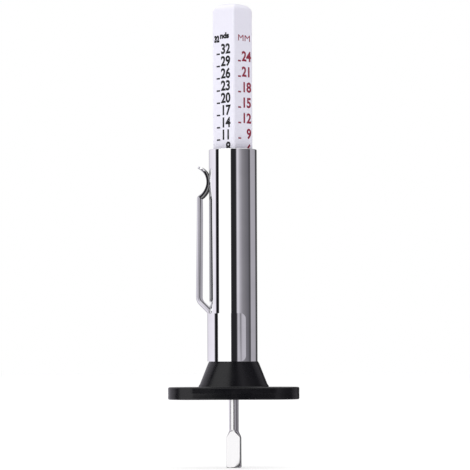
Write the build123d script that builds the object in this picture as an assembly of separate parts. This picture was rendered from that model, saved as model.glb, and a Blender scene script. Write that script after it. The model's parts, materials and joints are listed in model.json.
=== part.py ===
from build123d import *
import os
from math import acos, cos, degrees, radians, sin, sqrt, tan

# Tire tread depth gauge, in millimetres.
# The origin is the middle of the foot's measuring face. +Z runs up the tube, X runs
# along the foot, and the pocket clip stands out towards -X. The gauge is drawn with
# its probe pushed out, as it hangs from a shirt pocket after a reading.

# Foot: the bar that is laid across the ribs of the tread
foot_length = 25.4
foot_thickness = 2.4
foot_margin = 0.3           # of the foot's top, to each side of the hub
foot_edge_radius = 0.3

# Hub: the cone that carries the tube, moulded in one piece with the foot
hub_height = 4.95
hub_ledge = 0.14            # how far the hub's top stands out past the tube
hub_flare_along = 1.97      # how far the cone spreads at each end, from top to base
hub_flare_across = 0.17     # and to each side
hub_edge_radius = 0.15
hub_root_radius = 0.4
spigot_length = 3.8         # the plug that the tube is pressed over
spigot_lead = 0.3

# Tube
tube_diameter = 9.3
tube_wall = 0.45
tube_length = 41.0
rim_radius = 0.12

# Probe: a round wire, flattened at its lower end
pin_diameter = 1.9
pin_clearance = 0.05        # radial, where the pin slides in the spigot
pin_grip = 8.0              # length held in the scale bar
probe_reach = 13.15         # from the foot's face down to the probe's tip
blade_width = 2.8
blade_thickness = 1.0
blade_length = 5.7
blade_corner_radius = 0.25
blade_turn = -12            # degrees that the blade stands turned from the foot's length
flare_length = 1.6          # where the round wire turns into the blade
pocket_clearance = 0.15     # round the blade, when it is drawn into the hub

# Scale bar: square, free to turn in the round tube
scale_exposed = 28.3        # from the tube's rim up to the bar's top
bar_clearance = 0.40        # from the bar's rounded corners to the tube's bore
bar_corner_radius = 0.45
bar_end_radius = 0.9
bar_turn = 4                # degrees that the bar stands turned in the tube
head_height = 4.0           # round piston at the bar's lower end
head_clearance = 0.06
head_chamfer = 0.3
head_cover = 1.25           # tube left above the head with the probe drawn in

# Friction ring: a split ring sprung against the bore, which holds a reading
ring_height = 1.2
ring_depth = 0.75
ring_split = 0.8
ring_clearance = 0.02       # radial, to the tube's bore
groove_side_clearance = 0.05
groove_floor_clearance = 0.1

# Pocket clip: one strip of spring steel, wrapped round the tube
clip_thickness = 0.4
clip_direction = 172        # degrees round the tube, from +X to the clip's middle
band_height = 9.25
band_half_wrap = 126        # degrees to each side of the clip's middle
band_corner_radius = 1.1
root_slant = 45             # degrees that the root leans out from the tube
root_bend_radius = 1.9
root_straight = 0.1         # straight length above the root's bend
arm_root_gap = 2.2          # from the tube to the arm's inner face, at the root
arm_lean = 0.7              # degrees that the arm leans in towards the tube
arm_root_width = 4.8
arm_tip_width = 3.7
arm_length = 19.0           # straight part of the arm, up to the curl
curl_bend_radius = 0.6
curl_radius = 3.1
curl_clearance = 0.08       # the curl rests against the tube
curl_tip_turn = 65          # degrees from the curl's contact to its tip
tip_corner_radius = 0.9

# Levels and radii that follow from the sizes above
tube_radius = tube_diameter / 2
bore_radius = tube_radius - tube_wall
hub_top = foot_thickness + hub_height
hub_top_radius = tube_radius + hub_ledge
hub_base_reach = hub_top_radius + hub_flare_along
hub_base_half_width = hub_top_radius + hub_flare_across
foot_width = 2 * (hub_base_half_width + foot_margin)
spigot_top = hub_top + spigot_length
tube_top = hub_top + tube_length
pin_radius = pin_diameter / 2
blade_top = blade_length + flare_length - probe_reach
pocket_radius = blade_width / 2 + pocket_clearance
pocket_depth = blade_length + flare_length + pocket_clearance
bar_top = tube_top + scale_exposed
bar_bottom = tube_top - head_cover - probe_reach - head_height
bar_corner_reach = bore_radius - bar_clearance
bar_side = sqrt(2) * (bar_corner_reach + bar_corner_radius * (sqrt(2) - 1))
head_radius = bore_radius - head_clearance
ring_middle = bar_bottom + head_height / 2
ring_outer = bore_radius - ring_clearance
ring_inner = ring_outer - ring_depth
groove_floor = ring_inner - groove_floor_clearance
groove_height = ring_height + 2 * groove_side_clearance
band_top = hub_top + band_height
band_middle = tube_radius + clip_thickness / 2
bend_reach = band_middle + arm_root_gap
bend_level = band_top + arm_root_gap / tan(radians(root_slant))
root_length = root_bend_radius * tan(radians((root_slant + arm_lean) / 2)) + root_straight

UP = (Align.CENTER, Align.CENTER, Align.MIN)


def rod(radius, low, high):
    """Round rod on the Z axis between two levels."""
    return Pos(0, 0, low) * Cylinder(radius, high - low, align=UP)


def on_clip_side(shape):
    """Turn a shape drawn towards +X round to the side that the clip is on."""
    return Rot(0, 0, clip_direction) * shape


def base_foot():
    """Foot, hub and spigot in one moulding, bored through for the probe."""
    bar = extrude(SlotOverall(foot_length, foot_width), foot_thickness)
    long_edges = bar.edges().filter_by(Axis.Z, reverse=True)
    bar = fillet(long_edges, min(foot_edge_radius, foot_thickness / 3))
    hub_base = Plane.XY.offset(foot_thickness) * Ellipse(hub_base_reach, hub_base_half_width)
    hub_ring = Plane.XY.offset(hub_top) * Circle(hub_top_radius)
    hub = loft([hub_base, hub_ring])
    hub = fillet(hub.edges().group_by(Axis.Z)[-1], hub_edge_radius)
    body = bar + hub
    root = body.edges().filter_by_position(Axis.Z, foot_thickness - 0.01, foot_thickness + 0.01)
    root = root.filter_by(lambda edge: edge.bounding_box().max.X < hub_base_reach + 0.01)
    body = fillet(root, hub_root_radius)
    spigot = chamfer(rod(bore_radius, hub_top, spigot_top).edges().group_by(Axis.Z)[-1], spigot_lead)
    body = body + spigot
    body = body - rod(pin_radius + pin_clearance, 0, spigot_top)
    return body - rod(pocket_radius, 0, pocket_depth)


def barrel_tube():
    """Plain drawn tube, its rims broken, standing on the hub's top."""
    tube = rod(tube_radius, hub_top, tube_top) - rod(bore_radius, hub_top, tube_top)
    return fillet(tube.edges().group_by(Axis.Z)[-1], rim_radius)


def scale_bar():
    """Square bar that carries the scales, with a grooved round head inside the tube."""
    head_top = bar_bottom + head_height
    bar = Pos(0, 0, bar_bottom) * Box(bar_side, bar_side, bar_top - bar_bottom, align=UP)
    bar = fillet(bar.edges().group_by(Axis.Z)[-1], bar_end_radius)
    square_edges = bar.edges().filter_by(Axis.Z)
    bar = Rot(0, 0, 45 + bar_turn) * fillet(square_edges, bar_corner_radius)
    head = rod(head_radius, bar_bottom, head_top)
    head = chamfer(head.edges().filter_by(GeomType.CIRCLE), head_chamfer)
    groove_low = ring_middle - groove_height / 2
    groove = rod(head_radius + 1, groove_low, groove_low + groove_height)
    groove = groove - rod(groove_floor, groove_low, groove_low + groove_height)
    body = (bar + head) - groove
    return body - rod(pin_radius, bar_bottom, bar_bottom + pin_grip)


def friction_ring():
    """Split ring that lies in the head's groove and rubs on the tube's bore."""
    low = ring_middle - ring_height / 2
    ring = rod(ring_outer, low, low + ring_height) - rod(ring_inner, low, low + ring_height)
    split = Pos(ring_outer, 0, ring_middle) * Box(2 * ring_depth + 1, ring_split, ring_height + 1)
    return ring - split


def probe_pin():
    """Hard wire, round where it slides and flattened to a blade at the tip."""
    wire = rod(pin_radius, blade_top, bar_bottom + pin_grip)
    flare_low = blade_top - flare_length
    round_end = Plane.XY.offset(blade_top) * Circle(pin_radius)
    edge_radius = blade_thickness * 0.3
    flat_end = Plane.XY.offset(flare_low) * RectangleRounded(blade_width, blade_thickness, edge_radius)
    flare = loft([round_end, flat_end])
    blade = extrude(flat_end, -blade_length)
    tip_outline = Pos(0, 0, -probe_reach) * Box(blade_width, blade_thickness, 2 * blade_length, align=UP)
    tip_corners = tip_outline.edges().filter_by(Axis.Y).group_by(Axis.Z)[0]
    blade = blade & fillet(tip_corners, blade_corner_radius)
    return Rot(0, 0, blade_turn) * (wire + flare + blade)


def up_the_arm(start, distance):
    """Point that lies a distance up the leaning arm, as (distance from the axis, height)."""
    lean = radians(arm_lean)
    return (start[0] - distance * sin(lean), start[1] + distance * cos(lean))


def arm_start():
    """Middle of the arm's lower end, where its bending is taken to happen."""
    return up_the_arm((bend_reach, bend_level), root_length)


def curl_bend():
    """Degrees of the bend that lets the curl just reach the tube."""
    arm_end = up_the_arm(arm_start(), arm_length)
    fall = arm_end[0] - (band_middle + curl_clearance)
    kept = curl_bend_radius * (1 - cos(radians(arm_lean)))
    return degrees(acos(1 - (fall + kept) / (curl_bend_radius + curl_radius))) - arm_lean


def arm_path():
    """Middle line of the arm: straight, a tight bend inwards, then the curl."""
    straight = Line(arm_start(), up_the_arm(arm_start(), arm_length))
    bend = JernArc(straight @ 1, straight % 1, curl_bend_radius, curl_bend())
    curl_turn = curl_bend() + arm_lean + curl_tip_turn
    curl = JernArc(bend @ 1, bend % 1, curl_radius, -curl_turn)
    return [straight, bend, curl]


def root_path():
    """Middle line of the root: it slants out of the band and bends up into the arm."""
    slant = radians(root_slant)
    foot_reach = tube_radius - clip_thickness
    foot_level = bend_level - (bend_reach - foot_reach) / tan(slant)
    corner = (bend_reach, bend_level)
    return FilletPolyline((foot_reach, foot_level), corner, arm_start(), radius=root_bend_radius)


def clip_outline():
    """Front outline of the arm and its root: it narrows upwards and has a rounded tip."""
    low = hub_top
    shoulder = arm_start()[1]
    high = (arm_path()[-1] @ 1).Y
    root = arm_root_width / 2
    tip = arm_tip_width / 2
    right_side = [(root, low), (root, shoulder), (tip, high)]
    left_side = [(-tip, high), (-root, shoulder), (-root, low)]
    outline = make_face(Polyline(*right_side, *left_side, close=True))
    outline = fillet(outline.vertices().group_by(Axis.Y)[-1], tip_corner_radius)
    return extrude(Plane.YZ * outline, bend_reach + curl_radius)


def strip(path):
    """Strip of the clip's thickness that follows a path drawn towards +X."""
    return extrude(Plane.XZ * trace(path, clip_thickness), arm_root_width, both=True)


def clip_arm():
    """Springy arm of the pocket clip, curled at its end to ride over cloth."""
    return on_clip_side(strip(arm_path()) & clip_outline())


def clip_band():
    """Band of the pocket clip, with the slanted root that carries the arm."""
    wrap_line = CenterArc((0, 0), band_middle, -band_half_wrap, 2 * band_half_wrap)
    wrap = trace(wrap_line, clip_thickness)
    band = extrude(Plane.XY.offset(hub_top) * wrap, band_height)
    end_edges = ShapeList()
    for face in band.faces().filter_by(GeomType.PLANE):
        if abs(face.normal_at().Z) < 0.5:
            end_edges += face.edges().filter_by(Axis.Z, reverse=True)
    band = fillet(end_edges, band_corner_radius)
    root = strip(root_path()) & clip_outline()
    root = root - rod(tube_radius, hub_top, tube_top)
    return on_clip_side(band + root)


PARTS = {
    "base_foot": base_foot,
    "barrel_tube": barrel_tube,
    "clip_band": clip_band,
    "clip_arm": clip_arm,
    "scale_bar": scale_bar,
    "friction_ring": friction_ring,
    "probe_pin": probe_pin,
}

os.makedirs("parts", exist_ok=True)
for name, make in PARTS.items():
    export_step(make(), f"parts/{name}.step")

# Values that the joints are stated with
clip_angle = radians(clip_direction)
pivot_reach = arm_start()[0] + clip_thickness / 2 * cos(radians(arm_lean))
pivot_level = arm_start()[1] + clip_thickness / 2 * sin(radians(arm_lean))
pivot = (pivot_reach * cos(clip_angle), pivot_reach * sin(clip_angle), pivot_level)
print("probe pushed out further, to the stop:", round(bar_bottom - spigot_top, 3))
print("probe drawn in, tip level with the foot:", probe_reach)
print("clip pivot:", [round(value, 3) for value in pivot])
print("clip pivot axis:", [round(-sin(clip_angle), 5), round(cos(clip_angle), 5), 0])
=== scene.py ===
# %% [markdown]
# # A pencil-type tire tread depth gauge
#
# The gauge is a chromed tube on a black moulded foot. A square white bar slides in the
# tube and carries a steel probe, which comes out under the foot and drops into the tread.
# A stamped pocket clip is wrapped round the tube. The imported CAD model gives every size
# and every moving body. This script dresses it: each piece that shows is modelled again
# with clean surfaces, because chrome shows every facet, and each finish is made of nodes.

# %% Load the frame
import json
from math import acos, atan2, cos, degrees, pi, radians, sin, sqrt, tan
import bmesh
import bpy
from mathutils import Matrix, Vector


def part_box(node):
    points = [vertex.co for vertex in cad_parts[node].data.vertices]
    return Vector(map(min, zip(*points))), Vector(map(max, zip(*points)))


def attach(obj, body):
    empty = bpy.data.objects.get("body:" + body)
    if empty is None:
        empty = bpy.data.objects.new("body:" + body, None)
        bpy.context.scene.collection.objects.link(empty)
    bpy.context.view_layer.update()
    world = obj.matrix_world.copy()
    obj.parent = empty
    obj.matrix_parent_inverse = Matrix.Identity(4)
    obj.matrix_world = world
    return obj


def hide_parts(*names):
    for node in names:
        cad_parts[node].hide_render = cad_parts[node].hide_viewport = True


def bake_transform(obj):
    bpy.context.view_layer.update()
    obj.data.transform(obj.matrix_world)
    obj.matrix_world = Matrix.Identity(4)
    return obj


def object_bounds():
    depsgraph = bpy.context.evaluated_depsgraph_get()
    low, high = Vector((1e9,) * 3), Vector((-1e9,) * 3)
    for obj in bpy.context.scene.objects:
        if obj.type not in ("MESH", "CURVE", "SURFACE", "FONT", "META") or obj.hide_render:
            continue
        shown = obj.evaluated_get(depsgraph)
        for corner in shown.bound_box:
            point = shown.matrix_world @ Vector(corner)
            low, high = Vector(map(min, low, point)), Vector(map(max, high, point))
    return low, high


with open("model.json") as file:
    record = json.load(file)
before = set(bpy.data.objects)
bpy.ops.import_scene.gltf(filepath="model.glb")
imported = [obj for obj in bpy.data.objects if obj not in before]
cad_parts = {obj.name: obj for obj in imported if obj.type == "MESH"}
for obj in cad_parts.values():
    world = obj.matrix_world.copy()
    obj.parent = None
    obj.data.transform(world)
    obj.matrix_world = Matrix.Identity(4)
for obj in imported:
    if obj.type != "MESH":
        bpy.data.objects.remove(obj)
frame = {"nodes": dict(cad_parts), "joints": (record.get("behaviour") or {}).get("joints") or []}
cad_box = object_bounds()
MM = 0.001
joints = {joint["name"]: joint for joint in frame["joints"]}
print("nodes:", sorted(frame["nodes"]))
print("joints:", sorted(joints))

# %% [markdown]
# Blender's operators act on whatever is selected, so a few small helpers keep that in hand.
# A piece starts from a primitive, is shaped in edit mode, and is finished by writing its
# place into its mesh, so that its object stays at the origin as the CAD nodes do.

# %% Helpers for modelling
def select_only(*pieces):
    """Selects these pieces and nothing else, and makes the first one active."""
    if bpy.context.object and bpy.context.object.mode != "OBJECT":
        bpy.ops.object.mode_set(mode="OBJECT")
    bpy.ops.object.select_all(action="DESELECT")
    for piece in pieces:
        piece.select_set(True)
    bpy.context.view_layer.objects.active = pieces[0] if pieces else None


def pick(piece, kind, test):
    """In edit mode, selects the VERT, EDGE or FACE parts that pass a test."""
    bpy.ops.mesh.select_mode(type=kind)
    bpy.ops.mesh.select_all(action="DESELECT")
    mesh = bmesh.from_edit_mesh(piece.data)
    parts = {"VERT": mesh.verts, "EDGE": mesh.edges, "FACE": mesh.faces}[kind]
    found = [part for part in parts if test(part)]
    for part in found:
        part.select_set(True)
    bmesh.update_edit_mesh(piece.data)
    return len(found)


def named(name):
    """Names the object that an operator has just made, and its mesh."""
    piece = bpy.context.object
    piece.name = name
    piece.data.name = name
    return piece


def apply_modifiers(piece):
    select_only(piece)
    for modifier in list(piece.modifiers):
        bpy.ops.object.modifier_apply(modifier=modifier.name)


def close_up(piece, smooth_angle=30):
    """Merges doubles, turns the faces outwards, shades soft bends smooth and settles the place."""
    select_only(piece)
    bpy.ops.object.mode_set(mode="EDIT")
    bpy.ops.mesh.select_all(action="SELECT")
    bpy.ops.mesh.remove_doubles(threshold=1e-7)
    bpy.ops.mesh.normals_make_consistent(inside=False)
    bpy.ops.object.mode_set(mode="OBJECT")
    bpy.ops.object.transform_apply(location=True, rotation=True, scale=True)
    bpy.ops.object.shade_smooth_by_angle(angle=radians(smooth_angle))
    print(piece.name, "has", len(piece.data.polygons), "faces")
    return piece


# %% [markdown]
# The sizes that the pieces share are read from the boxes of the CAD nodes. The tube stands
# on the hub, so its lowest level is the hub's top. The clip leans on its hinge, so the
# hinge's place gives the side that the clip is on.

# %% Sizes read from the frame
def box(node):
    low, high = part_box(node)
    return Vector(low), Vector(high)


tube_low, tube_high = box("barrel_tube")
foot_low, foot_high = box("base_foot")
bar_low, bar_high = box("scale_bar")
pin_low, pin_high = box("probe_pin")
ring_low, ring_high = box("friction_ring")
tube_radius = (tube_high.x - tube_low.x) / 2
hub_top, rim = tube_low.z, tube_high.z
tube_wall = 0.45 * MM
bore_radius = tube_radius - tube_wall
hinge_point = Vector(joints["clip_flex"]["pos_m"])
clip_angle = atan2(hinge_point.y, hinge_point.x)
print("tube radius", round(tube_radius / MM, 3), "mm, rim at", round(rim / MM, 2), "mm")

# %% [markdown]
# Most of the gauge is drawn, turned or moulded along one line, so it is built ring by ring:
# a circle primitive is extruded again and again, and each new ring is set to the outline
# that the piece has at that level. A ring is a function that gives the point for each
# station round the piece. The same helper makes the tube, the foot, the bar and the probe.

# %% Ring by ring
def ring_loft(name, stations, rings, join_ends=False):
    """Extrudes a circle through a list of rings, then closes both ends or joins them."""
    select_only()
    bpy.ops.mesh.primitive_circle_add(vertices=stations, radius=MM, fill_type="NOTHING")
    piece = named(name)
    bpy.ops.object.mode_set(mode="EDIT")
    bpy.ops.mesh.select_mode(type="VERT")
    mesh = bmesh.from_edit_mesh(piece.data)
    layer = mesh.verts.layers.int.new("station")
    almost_round = 2 * pi - 1e-6    # so that an angle just below 0 still comes last
    in_turn = sorted(mesh.verts, key=lambda v: atan2(v.co.y, v.co.x) % almost_round)
    for number, vert in enumerate(in_turn):
        vert[layer] = number
    for number, ring in enumerate(rings):
        if number:
            bpy.ops.mesh.extrude_region_move()
        mesh = bmesh.from_edit_mesh(piece.data)
        layer = mesh.verts.layers.int["station"]
        for vert in (v for v in mesh.verts if v.select):
            vert.co = ring(2 * pi * vert[layer] / stations)
        bmesh.update_edit_mesh(piece.data)
    mesh = bmesh.from_edit_mesh(piece.data)
    for edge in mesh.edges:
        edge.select_set(edge.is_boundary)
    bpy.ops.mesh.select_mode(type="EDGE")
    if join_ends:
        bpy.ops.mesh.bridge_edge_loops()
    else:
        bpy.ops.mesh.edge_face_add()
    bpy.ops.object.mode_set(mode="OBJECT")
    return piece


def circle(radius, level):
    return lambda angle: Vector((radius * cos(angle), radius * sin(angle), level))


def oval(reach, half_width, level):
    return lambda angle: Vector((reach * cos(angle), half_width * sin(angle), level))


def slot(length, width, level):
    """A ring with straight sides and full round ends, along X."""
    straight = (length - width) / 2

    def point(angle):
        side = 0 if abs(cos(angle)) < 1e-6 else (1 if cos(angle) > 0 else -1)
        return Vector((side * straight + width / 2 * cos(angle), width / 2 * sin(angle), level))
    return point


def diamond(reach, corner, level, turned):
    """A square stood on its corner and turned, with round corners that reach this far."""
    centre = reach - corner

    def point(angle):
        quarter = round(angle / (pi / 2))
        swing = angle - quarter * pi / 2
        local = Vector((centre + corner * cos(swing), corner * sin(swing), level))
        return Matrix.Rotation(quarter * pi / 2 + turned, 3, "Z") @ local
    return point


def rounded(profile, radius, steps=5):
    """Rounds the corners of a profile, a list of (distance, level), with small arcs."""
    points = [profile[0]]
    for before, corner, after in zip(profile, profile[1:], profile[2:]):
        a, b, c = (Vector(point) for point in (before, corner, after))
        into, out = (a - b).normalized(), (c - b).normalized()
        half = into.angle(out) / 2
        size = min(radius, 0.45 * min((a - b).length, (c - b).length) * tan(half))
        back = size / tan(half)
        middle = b + (into + out).normalized() * size / sin(half)
        start, end = b + into * back - middle, b + out * back - middle
        sweep = start.angle(end)
        for step in range(steps + 1):
            share = step / steps
            mix = start * sin((1 - share) * sweep) + end * sin(share * sweep)
            point = middle + mix / sin(sweep)
            points.append((point.x, point.y))
    return points + [profile[-1]]


# %% [markdown]
# ## The tube
# A real one is drawn steel, cut off and plated. A plain profile goes up the outside, over
# the rim and down the bore, and is turned ring by ring. Many stations keep the chrome's
# reflections straight, and the rim gets the tiny radius that catches the light.

# %% Tube
rim_round = 0.12 * MM
outside = [(tube_radius, hub_top), (tube_radius, rim), (bore_radius, rim), (bore_radius, hub_top)]
tube_profile = rounded(outside, rim_round)
tube = ring_loft("tube", 192, [circle(r, z) for r, z in tube_profile], join_ends=True)
close_up(tube)
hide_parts("barrel_tube")
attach(tube, "barrel")

# %% [markdown]
# ## Foot and hub
# One black moulding: a flat bar with full round ends, a cone that flows into the tube, a
# plug inside the tube and a bore for the probe. The rings go from the plug down over the
# cone, out across the foot and back up through the bore, so the moulding is one closed
# skin. A hair-thin parting line is left round the foot, where the two halves of a mould meet.

# %% Foot and hub
foot_length = foot_high.x - foot_low.x
foot_width = foot_high.y - foot_low.y
foot_thickness = 2.4 * MM
foot_round = 0.3 * MM
hub_radius = tube_radius + 0.14 * MM
hub_reach, hub_half_width = hub_radius + 1.97 * MM, hub_radius + 0.17 * MM
hub_fillet, hub_edge = 0.28 * MM, 0.12 * MM
plug_radius, plug_top, plug_edge = bore_radius, foot_high.z, 0.25 * MM
guide_radius = 1.0 * MM
pocket_radius, pocket_depth, pocket_edge = 1.55 * MM, 7.45 * MM, 0.15 * MM
seam_height, seam_depth = 0.06 * MM, 0.02 * MM


def cone_ring(share):
    """Ring of the hub's cone, from its base at 0 to its top at 1."""
    reach = hub_reach + (hub_radius - hub_reach) * share
    half_width = hub_half_width + (hub_radius - hub_half_width) * share
    return oval(reach, half_width, foot_thickness + (hub_top - foot_thickness) * share)


def quarter(steps):
    """Angles of a quarter turn, in equal steps."""
    return [pi / 2 * step / steps for step in range(steps + 1)]


def foot_ring(inset, level):
    return slot(foot_length - 2 * inset, foot_width - 2 * inset, level)


plug_rounding_low = plug_top - 1 * MM
plug_end = [(guide_radius, plug_rounding_low), (guide_radius, plug_top),
            (plug_radius, plug_top), (plug_radius, plug_rounding_low)]
foot_rings = [circle(r, z) for r, z in rounded(plug_end, plug_edge)]
foot_rings += [circle(plug_radius, hub_top), circle(hub_radius - hub_edge, hub_top)]
for a in quarter(4)[1:]:
    foot_rings.append(circle(hub_radius - hub_edge * (1 - sin(a)), hub_top - hub_edge * (1 - cos(a))))
foot_rings += [cone_ring(share) for share in (0.9, 0.7, 0.5, 0.3, 0.12)]
for a in quarter(5):
    flow = hub_fillet * (1 - cos(a))
    foot_rings.append(oval(hub_reach + flow * 0.9, hub_half_width + flow * 0.6,
                           foot_thickness + hub_fillet * (1 - sin(a))))
for a in quarter(5):
    foot_rings.append(foot_ring(foot_round * (1 - sin(a)), foot_thickness - foot_round * (1 - cos(a))))
seam = foot_thickness / 2
for level, inset in ((seam + seam_height, seam_depth), (seam, 0), (seam - seam_height, seam_depth)):
    foot_rings.append(foot_ring(inset, level))
for a in quarter(5):
    foot_rings.append(foot_ring(foot_round * (1 - cos(a)), foot_round * (1 - sin(a))))
foot_rings += [circle(pocket_radius + pocket_edge, 0), circle(pocket_radius, pocket_edge),
               circle(pocket_radius, pocket_depth), circle(guide_radius, pocket_depth)]
foot = ring_loft("foot_and_hub", 128, foot_rings, join_ends=True)
close_up(foot)

# %% [markdown]
# The mould pushes the part out with two round pins, and each leaves a shallow round mark
# under the foot. A cylinder is the cutter, and a Boolean modifier takes its top slice away.

# %% Marks of the ejector pins
mark_radius, mark_depth, mark_reach = 1.1 * MM, 0.06 * MM, 8.4 * MM
for side in (-1, 1):
    select_only()
    bpy.ops.mesh.primitive_cylinder_add(vertices=40, radius=mark_radius, depth=2 * mark_depth,
                                        location=(side * mark_reach, 0, 0))
    cutter = named("ejector_pin")
    mark = foot.modifiers.new("ejector_mark", "BOOLEAN")
    mark.object = cutter
    mark.operation = "DIFFERENCE"
    mark.solver = "EXACT"
    apply_modifiers(foot)
    select_only(cutter)
    bpy.ops.object.delete()
select_only(foot)
bpy.ops.object.shade_smooth_by_angle(angle=radians(30))
print("foot has", len(foot.data.polygons), "faces with its marks")
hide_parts("base_foot")
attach(foot, "barrel")

# %% [markdown]
# ## Scale bar
# A white square bar with softly rounded corners, turned so that one corner faces the
# reader. Inside the tube it ends in a round head with a groove for the friction ring. The
# top is domed over: each ring above the shoulder is a smaller square with rounder corners.

# %% Scale bar
bar_reach = 3.8 * MM
bar_corner = 0.45 * MM
bar_turn = radians(4)
dome, dome_spread, corner_pull, corner_growth = 1.5 * MM, 1.2, 0.9, 0.3
head_radius = (bar_high.x - bar_low.x) / 2
head_height = 4.0 * MM
head_top = bar_low.z + head_height
ring_play, groove_depth = 0.05 * MM, 0.85 * MM
groove_low, groove_high = ring_low.z - ring_play, ring_high.z + ring_play
groove_floor = (ring_high.y - ring_low.y) / 2 - groove_depth
chamfer = 0.3 * MM
socket_radius, socket_top = 0.95 * MM, pin_high.z
bar_rings = [circle(socket_radius, socket_top), circle(socket_radius, bar_low.z),
             circle(head_radius - chamfer, bar_low.z), circle(head_radius, bar_low.z + chamfer),
             circle(head_radius, groove_low), circle(groove_floor, groove_low),
             circle(groove_floor, groove_high), circle(head_radius, groove_high),
             circle(head_radius, head_top - chamfer), circle(head_radius - chamfer, head_top),
             diamond(bar_reach, bar_corner, head_top, bar_turn),
             diamond(bar_reach, bar_corner, bar_high.z - dome, bar_turn)]
for a in quarter(8)[1:]:
    inset = dome * (1 - cos(a)) * dome_spread
    reach = bar_reach - inset * sqrt(2) * corner_pull
    corner = bar_corner + inset * corner_growth
    bar_rings.append(diamond(reach, corner, bar_high.z - dome * (1 - sin(a)), bar_turn))
bar = ring_loft("white_scale_bar", 64, bar_rings)
close_up(bar)
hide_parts("scale_bar")
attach(bar, "slider")

# %% [markdown]
# ## Probe
# Hard round wire, flattened at the tip between two dies. The wire squeezes flat over a
# short length and spreads sideways as it does. The rings change from a circle to a flat
# oval with nearly square corners, and the end is broken with a small radius.

# %% Probe
pin_radius = 0.95 * MM
blade_turn = radians(-12)
blade_half_width, blade_half_thickness = 1.4 * MM, 0.5 * MM
flare, blade_length = 1.6 * MM, 5.7 * MM
blade_top = pin_low.z + blade_length + flare
runout = 0.35       # share of the flare in which the wire is pressed flat
squareness = 0.87   # how far the oval goes towards a rectangle
tip_round = 0.2 * MM


def flattened(spread, pressed, level, shrink=0.0):
    """Section of the wire: how far it has spread sideways and how far it is pressed flat."""
    reach = pin_radius + (blade_half_width - pin_radius) * spread - shrink
    depth = pin_radius + (blade_half_thickness - pin_radius) * pressed - shrink
    power = 1 - squareness * spread

    def point(angle):
        c, s = cos(angle), sin(angle)
        across = reach * abs(c) ** power * (1 if c > 0 else -1)
        through = depth * abs(s) ** power * (1 if s > 0 else -1)
        return Matrix.Rotation(blade_turn, 3, "Z") @ Vector((across, through, level))
    return point


probe_rings = [circle(pin_radius, pin_high.z), circle(pin_radius, blade_top)]
flare_steps = 16
for step in range(1, flare_steps + 1):
    share = step / flare_steps
    spread = share * share * (3 - 2 * share)
    pressed = 1 - (1 - min(1, share / runout)) ** 2
    probe_rings.append(flattened(spread, pressed, blade_top - flare * share))
probe_rings.append(flattened(1, 1, pin_low.z + tip_round))
for a in quarter(4)[1:]:
    shrink = tip_round * (1 - cos(a)) * 0.8
    probe_rings.append(flattened(1, 1, pin_low.z + tip_round * (1 - sin(a)), shrink))
probe = ring_loft("probe", 64, probe_rings)
close_up(probe, 40)
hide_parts("probe_pin")
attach(probe, "slider")

# %% [markdown]
# ## Pocket clip
# A real clip is a flat blank, stamped from spring strip and then formed. It is made here in
# the same order. A plane is cut to the outline of the blank, with the arm drawn out of the
# band's top edge. Bisecting it into narrow columns and rows lets it bend. Each point of the
# blank is then moved to where forming takes it: round the tube, out and up along the arm.
# The band's ends stay flat, because a forming tool can't bend the last bit of a strip.

# %% The flat blank
clip_thickness = 0.4 * MM
skin_radius = tube_radius + clip_thickness / 2
band_height = 9.25 * MM
half_wrap = radians(107)
flat_end = 1.6 * MM
band_half_length = skin_radius * half_wrap + flat_end
band_corner = 1.1 * MM
arm_root_half, arm_tip_half = 2.4 * MM, 1.85 * MM
tip_corner = 0.9 * MM

# the arm's middle line: out from the band, up along the tube, in again and out at the curl
root_radius, root_slant = 0.5 * MM, radians(45)
arm_gap, root_bend = 2.2 * MM, 1.9 * MM
arm_straight, arm_lean = 19.0 * MM, radians(0.7)
straight_extra = 0.1 * MM
curl_gap, curl_bend = 0.08 * MM, 0.6 * MM
curl_radius, curl_tip_turn = 3.1 * MM, radians(65)


def arm_line():
    """Steps along the arm's middle line: (length, turn) pieces, from the band's top edge."""
    slant_length = arm_gap / sin(root_slant)
    bend_tangent = root_bend * tan((root_slant + arm_lean) / 2)
    fall = arm_gap - arm_straight * sin(arm_lean) - curl_gap
    sunk = (fall + curl_bend * (1 - cos(arm_lean))) / (curl_bend + curl_radius)
    curl_turn = acos(1 - sunk) - arm_lean
    whole_curl = curl_turn + arm_lean + curl_tip_turn
    return [(root_radius * root_slant, -root_slant),
            (slant_length - bend_tangent - root_radius * tan(root_slant / 2), 0),
            (root_bend * (root_slant + arm_lean), root_slant + arm_lean),
            (arm_straight + straight_extra, 0),
            (curl_bend * curl_turn, curl_turn),
            (curl_radius * whole_curl, -whole_curl)]


arm_length = sum(length for length, _ in arm_line())
print("flat blank:", round(2 * band_half_length / MM, 2), "mm long, arm",
      round(arm_length / MM, 2), "mm")


def arm_point(travelled):
    """Place and direction of the arm's middle line after a length: (distance, height, lean in)."""
    reach, level, lean = skin_radius, hub_top + band_height, 0.0
    for length, turn in arm_line():
        part = min(max(travelled, 0), length)
        travelled -= part
        if abs(turn) < 1e-9:
            reach -= part * sin(lean)
            level += part * cos(lean)
        else:
            radius = length / turn
            swept = part / radius
            reach += radius * (cos(lean + swept) - cos(lean))
            level += radius * (sin(lean + swept) - sin(lean))
            lean += swept
        if travelled <= 0:
            break
    return reach, level, lean


# %% Cut and draw out the blank
CLOSE = 1e-6


def cut_lines(piece, normal, places):
    """Bisects the whole blank at each place along a direction."""
    for place in places:
        bpy.ops.mesh.select_all(action="SELECT")
        bpy.ops.mesh.bisect(plane_co=Vector(normal) * place, plane_no=normal)


def under_the_arm(edge):
    return all(v.co.y > band_height - CLOSE and abs(v.co.x) < arm_root_half + CLOSE for v in edge.verts)


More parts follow.
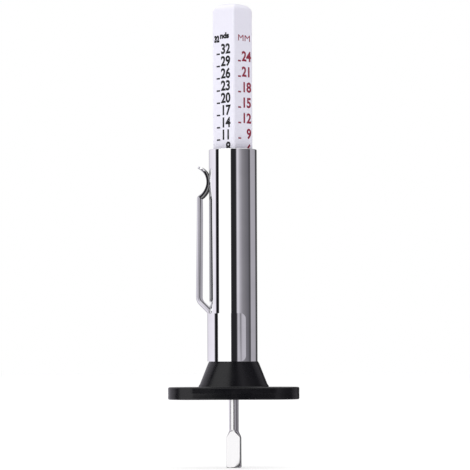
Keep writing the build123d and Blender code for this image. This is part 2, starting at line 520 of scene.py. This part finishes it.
select_only()
bpy.ops.mesh.primitive_plane_add(size=1)
clip = named("pocket_clip")
clip.scale = (2 * band_half_length, band_height, 1)
clip.location = (0, band_height / 2, 0)
bpy.ops.object.transform_apply(location=True, rotation=True, scale=True)
bpy.ops.object.mode_set(mode="EDIT")
pick(clip, "VERT", lambda vert: True)
bpy.ops.mesh.bevel(offset=band_corner, segments=8, affect="VERTICES")
cut_lines(clip, (1, 0, 0), [-arm_root_half, arm_root_half])
pick(clip, "EDGE", under_the_arm)
bpy.ops.mesh.extrude_region_move(TRANSFORM_OT_translate={"value": (0, arm_length, 0)})
bpy.ops.transform.resize(value=(arm_tip_half / arm_root_half, 1, 1))
pick(clip, "VERT", lambda vert: vert.co.y > band_height + arm_length - CLOSE)
bpy.ops.mesh.bevel(offset=tip_corner, segments=6, affect="VERTICES")
column_width, row_turn, row_height = 0.3 * MM, radians(6), 2.5 * MM
columns = int(band_half_length / column_width)
cut_lines(clip, (1, 0, 0), [band_half_length * step / columns for step in range(1 - columns, columns)])
arm_steps = []
start = 0.0
for length, turn in arm_line():
    count = max(1, int(abs(turn) / row_turn if turn else length / row_height))
    arm_steps += [band_height + start + length * step / count for step in range(1, count + 1)]
    start += length
cut_lines(clip, (0, 1, 0), [band_height] + arm_steps[:-1])
bpy.ops.object.mode_set(mode="OBJECT")
print("blank cut into", len(clip.data.polygons), "faces")


# %% [markdown]
# The arm is hollow towards the tube, like a gutter. Its section is as round as the band at
# the root and flatter over the curl, so a short list says how curved it is at each length,
# and the lengths between are eased.

# %% Form the blank
curl_start = sum(length for length, _ in arm_line()[:4])
# (length up the arm, curvature of the section per mm)
sections = [(0, MM / skin_radius), (3 * MM, 0.20), (curl_start - 1 * MM, 0.24),
            (curl_start + 0.5 * MM, 0.21), (curl_start + 2.8 * MM, 0.125), (arm_length + MM, 0.14)]


def curvature(travelled):
    """Curvature of the arm's section at a length, eased between the listed ones."""
    for (start, low), (end, high) in zip(sections, sections[1:]):
        if travelled <= end:
            break
    share = max(0, min(1, (travelled - start) / (end - start)))
    return (low + (high - low) * share * share * (3 - 2 * share)) / MM


def formed(point):
    """Where forming takes a point of the flat blank."""
    along, up = point.x, point.y
    turned = max(-half_wrap, min(half_wrap, along / skin_radius))
    straight = along - turned * skin_radius
    out = skin_radius * cos(turned) - straight * sin(turned)
    side = skin_radius * sin(turned) + straight * cos(turned)
    if up <= band_height:
        return Vector((out, side, hub_top + up))
    travelled = up - band_height
    reach, level, lean = arm_point(travelled)
    bend = curvature(travelled)
    dip = (1 - cos(bend * along)) / bend
    return Vector((reach - dip * cos(lean), sin(bend * along) / bend, level - dip * sin(lean)))


for vert in clip.data.vertices:
    vert.co = Matrix.Rotation(clip_angle, 3, "Z") @ formed(vert.co)
thick = clip.modifiers.new("strip", "SOLIDIFY")
thick.thickness = clip_thickness
thick.offset = 0
edge = clip.modifiers.new("broken_edges", "BEVEL")
edge.width = 0.07 * MM
edge.segments = 2
edge.limit_method = "ANGLE"
edge.angle_limit = radians(50)
apply_modifiers(clip)
close_up(clip, 40)
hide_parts("clip_band", "clip_arm")
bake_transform(clip)

# %% [markdown]
# ## Printed scales
# The scales are ink, about a hundredth of a millimetre thick. Each mark is a thin bar and
# each number is a text object, made a mesh and laid on the bar's face. The inch scale has
# a number at every third 32nd, and the metric scale one at every third millimetre. Both
# start from the same zero, so the rim reads the same depth on either face.

# %% Printed scales
ink_thickness = 0.012 * MM
face_width = sqrt(2) * (bar_reach + bar_corner * (sqrt(2) - 1))
scale_zero = bar_high.z - 35.15 * MM
inch_step = 25.4 / 32 * MM
digit_height, digit_weight = 1.92 * MM, 0.034
tick_start, tick_end, tick_height = 1.20 * MM, 2.06 * MM, 0.30 * MM
tick_drop = 0.06 * MM
FONT_DIGIT, FONT_PITCH = 0.729, 0.636   # the font's digit height and pitch at size 1


def word(text, start, level, height, pitch, weight, align="LEFT"):
    """A printed word: its baseline, its capital height and its letter pitch are real sizes."""
    bpy.ops.object.text_add()
    piece = bpy.context.object
    piece.data.body = text
    piece.data.align_x = align
    piece.data.size = 1
    piece.data.offset = weight
    piece.data.extrude = 0.5
    piece.data.resolution_u = 4
    bpy.ops.object.convert(target="MESH")
    piece = bpy.context.object
    piece.scale = (pitch / FONT_PITCH, height / FONT_DIGIT, ink_thickness)
    piece.location = (start, level, ink_thickness / 2)
    bpy.ops.object.transform_apply(location=True, rotation=True, scale=True)
    return piece


def tick(level):
    bpy.ops.mesh.primitive_cube_add(size=1)
    piece = bpy.context.object
    piece.scale = (tick_end - tick_start, tick_height, ink_thickness)
    piece.location = ((tick_start + tick_end) / 2, level - tick_drop, ink_thickness / 2)
    bpy.ops.object.transform_apply(location=True, rotation=True, scale=True)
    return piece


def print_face(name, facing, numbers, step, heading, number_end, pitch):
    """Prints one scale flat, then lays it on the face of the bar that looks this way."""
    select_only()
    marks = heading()
    for number in numbers:
        level = scale_zero + number * step
        marks.append(tick(level))
        marks.append(word(str(number), number_end, level, digit_height, pitch, digit_weight, "RIGHT"))
    select_only(*marks)
    bpy.ops.object.join()
    piece = named(name)
    outwards = Vector((cos(radians(facing)), sin(radians(facing)), 0))
    across = Vector((0, 0, 1)).cross(outwards)
    corner = outwards * (face_width / 2) - across * (face_width / 2)
    turn = Matrix((across, Vector((0, 0, 1)), outwards)).transposed().to_4x4()
    piece.data.transform(Matrix.Translation(corner) @ turn)
    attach(piece, "slider")
    print(name, "has", len(marks), "marks")
    return piece


def inch_heading():
    level = scale_zero + 32 * inch_step + 2.35 * MM
    return [word("32", 0.62 * MM, level, 1.2 * MM, 0.80 * MM, 0.07),
            word("nds", 2.1 * MM, level + 0.62 * MM, 1.1 * MM, 1.04 * MM, 0.055)]


def metric_heading():
    return [word("MM", 1.1 * MM, scale_zero + 24 * MM + 3.85 * MM, 1.27 * MM, 1.56 * MM, 0.0)]


inch_prints, metric_prints = [], []
for side, turned in (("front", degrees(bar_turn)), ("back", 180 + degrees(bar_turn))):
    inch_prints.append(print_face("inch_scale_" + side, -135 + turned, range(32, 0, -3),
                                  inch_step, inch_heading, 4.70 * MM, 1.53 * MM))
    metric_prints.append(print_face("metric_scale_" + side, -45 + turned, range(24, 0, -3),
                                    MM, metric_heading, 5.05 * MM, 1.74 * MM))

# %% [markdown]
# # Finishes
#
# Each effect that the finishes are made of is a node group: marks of handling, the skin of
# a moulding and the lines of drawing. A group puts out only values, and every material
# mixes them in its own way. All of them read Object coordinates, which are metres here,
# so a noise of scale 1000 has grains about a millimetre across.

# %% Helpers for nodes
def node(tree, kind, inputs=None, **settings):
    """Adds a node, sets its properties, and sets or links its inputs."""
    made = tree.nodes.new(kind)
    for name, value in settings.items():
        setattr(made, name, value)
    for key, value in (inputs or {}).items():
        if isinstance(value, bpy.types.NodeSocket):
            tree.links.new(value, made.inputs[key])
        else:
            made.inputs[key].default_value = value
    return made


def new_group(name, inputs, outputs):
    """A shader node group with float inputs, given with their usual values, and outputs."""
    tree = bpy.data.node_groups.new(name, "ShaderNodeTree")
    for title, value in inputs.items():
        socket = tree.interface.new_socket(title, in_out="INPUT", socket_type="NodeSocketFloat")
        socket.default_value = value
    for title, kind in outputs.items():
        tree.interface.new_socket(title, in_out="OUTPUT", socket_type=kind)
    return tree, node(tree, "NodeGroupInput"), node(tree, "NodeGroupOutput")


def spread_value(tree, value, low, high, to_low, to_high):
    """Maps a value from one range to another and clamps it."""
    return node(tree, "ShaderNodeMapRange", {"Value": value, "From Min": low, "From Max": high,
                                             "To Min": to_low, "To Max": to_high}).outputs[0]


FLOAT, COLOR = "NodeSocketFloat", "NodeSocketColor"

# %% [markdown]
# Handling leaves greasy smudges a few millimetres across, and hair scratches that run
# mostly along the tube, because that is how it slides in and out of a pocket. The scratches
# are a noise stretched thirty times along Z, of which only the highest peaks are kept.

# %% Marks of handling
handling, put_in, put_out = new_group("handling_marks", {"Smudge Size": 260.0},
                                      {"Smudge": FLOAT, "Scratches": FLOAT})
place = node(handling, "ShaderNodeTexCoord").outputs["Object"]
smudge = node(handling, "ShaderNodeTexNoise", {"Vector": place, "Scale": put_in.outputs["Smudge Size"],
                                               "Detail": 3.0, "Roughness": 0.55, "Distortion": 0.6})
smudge_mask = spread_value(handling, smudge.outputs["Fac"], 0.42, 0.72, 0.0, 1.0)
handling.links.new(smudge_mask, put_out.inputs["Smudge"])
stretched = node(handling, "ShaderNodeMapping", {"Vector": place, "Rotation": (0.05, 0.08, 0),
                                                 "Scale": (1, 1, 1 / 30)})
hairs = node(handling, "ShaderNodeTexNoise",
             {"Vector": stretched.outputs[0], "Scale": 9000.0, "Detail": 1.0})
hair_mask = spread_value(handling, hairs.outputs["Fac"], 0.66, 0.74, 0.0, 1.0)
handling.links.new(hair_mask, put_out.inputs["Scratches"])

# %% [markdown]
# A moulded surface copies the steel it was moulded against: a very fine grain, and broad
# soft patches where the melt cooled at different speeds.

# %% Skin of a moulding
moulded, put_in, put_out = new_group("moulded_skin", {"Grain Size": 9000.0},
                                     {"Grain": FLOAT, "Patches": FLOAT})
place = node(moulded, "ShaderNodeTexCoord").outputs["Object"]
grain = node(moulded, "ShaderNodeTexNoise",
             {"Vector": place, "Scale": put_in.outputs["Grain Size"], "Detail": 2.0})
moulded.links.new(grain.outputs["Fac"], put_out.inputs["Grain"])
patches = node(moulded, "ShaderNodeTexNoise",
               {"Vector": place, "Scale": 320.0, "Detail": 2.0, "Distortion": 0.4})
patch_mask = spread_value(moulded, patches.outputs["Fac"], 0.35, 0.65, 0.0, 1.0)
moulded.links.new(patch_mask, put_out.inputs["Patches"])

# %% [markdown]
# Drawing pulls metal through a die, which leaves lines along its length. The noise is
# stretched along Z until it is only lines.

# %% Lines of drawing
drawn, put_in, put_out = new_group("drawn_lines", {"Line Width": 14000.0}, {"Lines": FLOAT})
place = node(drawn, "ShaderNodeTexCoord").outputs["Object"]
stretched = node(drawn, "ShaderNodeMapping", {"Vector": place, "Scale": (1, 1, 0.01)})
lines = node(drawn, "ShaderNodeTexNoise",
             {"Vector": stretched.outputs[0], "Scale": put_in.outputs["Line Width"],
              "Detail": 3.0, "Roughness": 0.7})
drawn.links.new(lines.outputs["Fac"], put_out.inputs["Lines"])


# %% Building a material
def new_material(name, **uniform):
    """A material with its shader's uniform numbers set; gives its tree and its shader."""
    material = bpy.data.materials.new(name)
    material.use_nodes = True
    shader = material.node_tree.nodes["Principled BSDF"]
    for title, value in uniform.items():
        shader.inputs[title.replace("_", " ")].default_value = value
    return material, material.node_tree, shader


def use_group(tree, group, **values):
    used = node(tree, "ShaderNodeGroup", node_tree=group)
    for title, value in values.items():
        used.inputs[title.replace("_", " ")].default_value = value
    return used.outputs


def two_tone(tree, mask, low, high):
    """Colour that goes from one to another with a mask."""
    mixed = node(tree, "ShaderNodeMix", data_type="RGBA")
    mixed.inputs[6].default_value = (*low, 1)
    mixed.inputs[7].default_value = (*high, 1)
    tree.links.new(mask, mixed.inputs[0])
    return mixed.outputs[2]


def finish_with(tree, shader, color=None, roughness=None, height=None, bump=0.1, depth=0.00001):
    """Links what varies over the surface into the shader."""
    if color:
        tree.links.new(color, shader.inputs["Base Color"])
    if roughness:
        tree.links.new(roughness, shader.inputs["Roughness"])
    if height:
        raised = node(tree, "ShaderNodeBump", {"Height": height, "Strength": bump, "Distance": depth})
        tree.links.new(raised.outputs[0], shader.inputs["Normal"])


def dress(piece, material):
    piece.data.materials.clear()
    piece.data.materials.append(material)


# %% [markdown]
# ## Chrome
# Bright plating is nearly a mirror, and what it shows is the studio. Smudges only dull it
# a little, and the hair scratches are faint. The tube and the clip get their own chrome,
# because the clip's strip was tumbled before plating and is a little less perfect.

# %% Chrome
def chrome(name, clean, smudged, scratch_bump):
    material, tree, shader = new_material(name, Metallic=1.0)
    marks = use_group(tree, handling)
    color = two_tone(tree, marks["Smudge"], (0.93, 0.93, 0.945), (0.88, 0.88, 0.895))
    roughness = spread_value(tree, marks["Smudge"], 0.0, 1.0, clean, smudged)
    finish_with(tree, shader, color, roughness, marks["Scratches"], scratch_bump, 0.000002)
    return material


tube_chrome = chrome("tube_chrome", 0.015, 0.045, 0.03)
clip_chrome = chrome("clip_chrome", 0.03, 0.07, 0.05)
dress(tube, tube_chrome)
dress(clip, clip_chrome)

# %% [markdown]
# ## Black foot
# The moulding is a black plastic with a satin skin. Its measuring face and its ends rub
# against tyres, so the lowest half millimetre is a little greyer in patches.

# %% Black foot
black_plastic, tree, shader = new_material("black_moulding", IOR=1.5, Specular_IOR_Level=0.38)
skin = use_group(tree, moulded, Grain_Size=7000.0)
place = node(tree, "ShaderNodeTexCoord").outputs["Object"]
level = node(tree, "ShaderNodeSeparateXYZ", {"Vector": place})
rubbed = spread_value(tree, level.outputs["Z"], 0.0, 0.5 * MM, 1.0, 0.0)
greyed = node(tree, "ShaderNodeMath", {0: rubbed, 1: skin["Patches"]}, operation="MULTIPLY")
color = two_tone(tree, greyed.outputs[0], (0.0036, 0.0034, 0.0052), (0.014, 0.013, 0.016))
satin = spread_value(tree, skin["Patches"], 0.0, 1.0, 0.24, 0.31)
finish_with(tree, shader, color, satin, skin["Grain"], 0.25)
dress(foot, black_plastic)

# %% [markdown]
# ## White bar
# Glossy white plastic, very slightly violet. The scales are printed on it, so its skin is
# smooth, with only a trace of the patches that any moulding has.

# %% White bar
white_plastic, tree, shader = new_material("white_moulding", IOR=1.49)
skin = use_group(tree, moulded, Grain_Size=5000.0)
color = two_tone(tree, skin["Patches"], (0.828, 0.814, 0.906), (0.834, 0.822, 0.911))
gloss = spread_value(tree, skin["Patches"], 0.0, 1.0, 0.28, 0.30)
finish_with(tree, shader, color, gloss, skin["Grain"], 0.06)
dress(bar, white_plastic)

# %% [markdown]
# ## Steel probe, nylon ring and inks
# The wire keeps the lines of its drawing. The ring inside the tube is natural nylon. Ink
# is matt, and a little uneven where the stamp pressed less.

# %% Steel, nylon and inks
probe_steel, tree, shader = new_material("drawn_steel", Metallic=1.0)
wire = use_group(tree, drawn)["Lines"]
color = two_tone(tree, wire, (0.72, 0.71, 0.72), (0.86, 0.85, 0.86))
polish = spread_value(tree, wire, 0.3, 0.7, 0.10, 0.20)
finish_with(tree, shader, color, polish, wire, 0.12, 0.000003)
dress(probe, probe_steel)

ring_nylon, tree, shader = new_material("natural_nylon", IOR=1.53)
skin = use_group(tree, moulded)
color = two_tone(tree, skin["Patches"], (0.72, 0.69, 0.60), (0.80, 0.77, 0.69))
dull = spread_value(tree, skin["Grain"], 0.3, 0.7, 0.45, 0.6)
finish_with(tree, shader, color, dull, skin["Grain"], 0.2)
dress(frame["nodes"]["friction_ring"], ring_nylon)


def ink(name, full, thin):
    material, tree, shader = new_material(name, IOR=1.45)
    skin = use_group(tree, moulded, Grain_Size=4000.0)
    uneven = spread_value(tree, skin["Grain"], 0.55, 0.75, 0.0, 1.0)
    color = two_tone(tree, uneven, full, thin)
    finish_with(tree, shader, color, spread_value(tree, skin["Patches"], 0.0, 1.0, 0.45, 0.55))
    return material


black_ink = ink("black_ink", (0.004, 0.004, 0.005), (0.02, 0.02, 0.022))
red_ink = ink("red_ink", (0.28, 0.016, 0.045), (0.38, 0.05, 0.09))
for piece in inch_prints:
    dress(piece, black_ink)
for piece in metric_prints:
    dress(piece, red_ink)
print("materials:", sorted(material.name for material in bpy.data.materials))

# %% [markdown]
# # Studio
#
# Chrome has no look of its own, so the studio decides it: black flags, a large white box at
# the left and grey walls stand round the gauge. They are written as a list of directions,
# from straight at the reader (0 degrees) round to the right (+) and to the left (-), and
# one node group turns the list into a colour. The world uses it for everything but the
# camera's own view, which is plain white.

# %% Panels round the gauge
# (degrees, brightness, tint)
PANELS = [
    (-180, 0.40, 0), (-164, 0.44, 1), (-152, 0.78, 2), (-131, 0.86, 2), (-95, 0.92, 2),
    (-89, 0.009, 1), (-74, 0.010, 1), (-71, 1.15, 0), (-12.5, 1.25, 0), (-9.5, 0.021, 1),
    (14, 0.025, 1), (20, 0.72, 2), (26, 0.64, 2), (32, 0.46, 2), (38, 0.36, 2),
    (46, 0.26, 2), (62, 0.19, 2), (78, 0.14, 1), (82, 0.085, 2), (90, 0.075, 2),
    (94, 0.42, 2), (131, 0.40, 2), (136, 0.05, 2), (154, 0.05, 0), (162, 0.30, 0),
    (180, 0.40, 0)]
TINTS = [(1, 1, 1), (0.97, 0.94, 1.08), (0.985, 0.95, 1.04)]


def studio_panels():
    tree = bpy.data.node_groups.new("studio_panels", "ShaderNodeTree")
    tree.interface.new_socket("Direction", in_out="INPUT", socket_type="NodeSocketVector")
    tree.interface.new_socket("Color", in_out="OUTPUT", socket_type=COLOR)
    put_in, put_out = node(tree, "NodeGroupInput"), node(tree, "NodeGroupOutput")
    parts = node(tree, "ShaderNodeSeparateXYZ", {0: put_in.outputs[0]})
    towards = node(tree, "ShaderNodeMath", {0: parts.outputs["Y"], 1: -1.0}, operation="MULTIPLY")
    angle = node(tree, "ShaderNodeMath", {0: parts.outputs["X"], 1: towards.outputs[0]},
                 operation="ARCTAN2")
    turn = spread_value(tree, angle.outputs[0], -pi, pi, 0.0, 1.0)
    ramp = node(tree, "ShaderNodeValToRGB", {"Fac": turn})
    stops = ramp.color_ramp.elements
    stops.remove(stops[0])
    for number, (degree, value, tint) in enumerate(PANELS):
        position = (degree + 180) / 360
        stop = stops[0] if number == 0 else stops.new(position)
        stop.position = position
        stop.color = (*(value * part for part in TINTS[tint]), 1)
    tree.links.new(ramp.outputs["Color"], put_out.inputs[0])
    return tree


panels = studio_panels()
print("studio panels:", len(PANELS), "stops")

# %% World
scene = bpy.context.scene
scene.view_settings.view_transform = "Standard"
scene.cycles.glossy_bounces = 12
world = bpy.data.worlds.new("studio")
scene.world = world
world.use_nodes = True
tree = world.node_tree
tree.nodes.clear()
direction = node(tree, "ShaderNodeTexCoord").outputs["Generated"]
round_about = node(tree, "ShaderNodeGroup", {0: direction}, node_tree=panels)
walls = node(tree, "ShaderNodeBackground", {"Color": round_about.outputs[0]})
overhead = node(tree, "ShaderNodeBackground", {"Color": (1, 1, 1, 1), "Strength": 1.2})
upwards = node(tree, "ShaderNodeSeparateXYZ", {0: direction}).outputs["Z"]
height = node(tree, "ShaderNodeMapRange", {"Value": upwards, "From Min": 0.55, "From Max": 0.8},
              interpolation_type="SMOOTHSTEP")
room = node(tree, "ShaderNodeMixShader",
            {0: height.outputs[0], 1: walls.outputs[0], 2: overhead.outputs[0]})
backdrop = node(tree, "ShaderNodeBackground", {"Color": (1, 1, 1, 1)})
seen = node(tree, "ShaderNodeLightPath").outputs["Is Camera Ray"]
shown = node(tree, "ShaderNodeMixShader", {0: seen, 1: room.outputs[0], 2: backdrop.outputs[0]})
node(tree, "ShaderNodeOutputWorld", {"Surface": shown.outputs[0]})

# %% [markdown]
# The floor is pale paper just under the probe's tip. Mirrored rays see a painted reflection in it: it
# glows with the studio's panels, so that the stripes on the chrome run on down the probe, with a
# painted contact shadow, a small dark spot, under the tip. For the camera some white is mixed in, so
# that it fades into the room.

# %% Floor
floor_gap = 0.05 * MM
# size and darkness of a painted contact shadow: a dark spot under the tip, seen only in the floor's
# painted reflection
painted_shadow_core, painted_shadow_edge, painted_shadow_value = 0.6 * MM, 1.0 * MM, 0.04
camera_white = 0.6
select_only()
bpy.ops.mesh.primitive_plane_add(size=6, location=(0, 0, cad_box[0][2] - floor_gap))
floor = named("floor")
paper = bpy.data.materials.new("pale_paper")
paper.use_nodes = True
tree = paper.node_tree
shader = tree.nodes["Principled BSDF"]
shader.inputs["Base Color"].default_value = (0.97, 0.97, 0.97, 1)
shader.inputs["Roughness"].default_value = 0.9
shader.inputs["Specular IOR Level"].default_value = 0.0
shader.inputs["Emission Color"].default_value = (1, 1, 1, 1)
shader.inputs["Emission Strength"].default_value = 0.12
place = node(tree, "ShaderNodeNewGeometry").outputs["Position"]
flat_place = node(tree, "ShaderNodeVectorMath", {0: place, 1: (1, 1, 0)}, operation="MULTIPLY")
distance = node(tree, "ShaderNodeVectorMath", {0: flat_place.outputs[0]}, operation="LENGTH")
# painted contact shadow: the painted reflection is dimmed to a dark spot right under the probe's tip
painted_shadow_strength = spread_value(tree, distance.outputs["Value"], painted_shadow_core, painted_shadow_edge, painted_shadow_value, 1.0)
# painted reflection: for mirrored rays the floor glows with the studio's panel colours, by direction
# round the gauge
round_about = node(tree, "ShaderNodeGroup", {0: place}, node_tree=panels)
mirrored = node(tree, "ShaderNodeEmission", {"Color": round_about.outputs[0], "Strength": painted_shadow_strength})
rays = node(tree, "ShaderNodeLightPath").outputs
white = node(tree, "ShaderNodeEmission", {"Color": (1, 1, 1, 1), "Strength": 1.0})
paleness = node(tree, "ShaderNodeMath", {0: rays["Is Camera Ray"], 1: camera_white},
                operation="MULTIPLY")
pale = node(tree, "ShaderNodeMixShader",
            {0: paleness.outputs[0], 1: shader.outputs[0], 2: white.outputs[0]})
surface = node(tree, "ShaderNodeMixShader",
               {0: rays["Is Glossy Ray"], 1: pale.outputs[0], 2: mirrored.outputs[0]})
tree.links.new(surface.outputs[0], tree.nodes["Material Output"].inputs["Surface"])
dress(floor, paper)

# %% [markdown]
# Two soft boxes light what isn't chrome: a small one stands at the front left and makes
# the left face of the bar the brighter one, and a wide one hangs overhead. They are hidden
# from mirrored rays, because the panels already stand for them there.

# %% Soft boxes
middle_of_gauge = Vector((0, 0, 0.03))


def soft_box(name, place, size, power):
    select_only()
    bpy.ops.object.light_add(type="AREA", location=place)
    lamp = bpy.context.object
    lamp.name = name
    lamp.data.shape = "DISK"
    lamp.data.size = size
    lamp.data.energy = power
    lamp.rotation_euler = (middle_of_gauge - Vector(place)).to_track_quat("-Z", "Y").to_euler()
    lamp.visible_glossy = False
    lamp.visible_camera = False


soft_box("front_left_box", (-0.9, -0.8, 0.55), 0.6, 0.9)
soft_box("overhead_box", (0.1, -0.1, 1.6), 1.4, 8.0)

# %% [markdown]
# The camera stands half a metre away, level with the hub, and looks up a little. Its lens
# follows from that distance and from how large the gauge stands in the frame.

# %% Camera
FRAME_SIDE, SENSOR = 470, 36
scale_at_gauge, camera_distance, horizon_row = 5165, 0.510, 357
camera_right, camera_height, camera_roll = 0.36 * MM, 8.2 * MM, radians(-0.22)
focal = scale_at_gauge * camera_distance
select_only()
bpy.ops.object.camera_add(location=(camera_right, -camera_distance, camera_height))
camera = bpy.context.object
camera.data.sensor_width = SENSOR
camera.data.lens = focal / FRAME_SIDE * SENSOR
camera.data.clip_start = 0.01
look_up = atan2(horizon_row - FRAME_SIDE / 2, focal)
camera.rotation_euler = (pi / 2 + look_up, 0, 0)
camera.rotation_euler.rotate_axis("Z", camera_roll)
scene.camera = camera
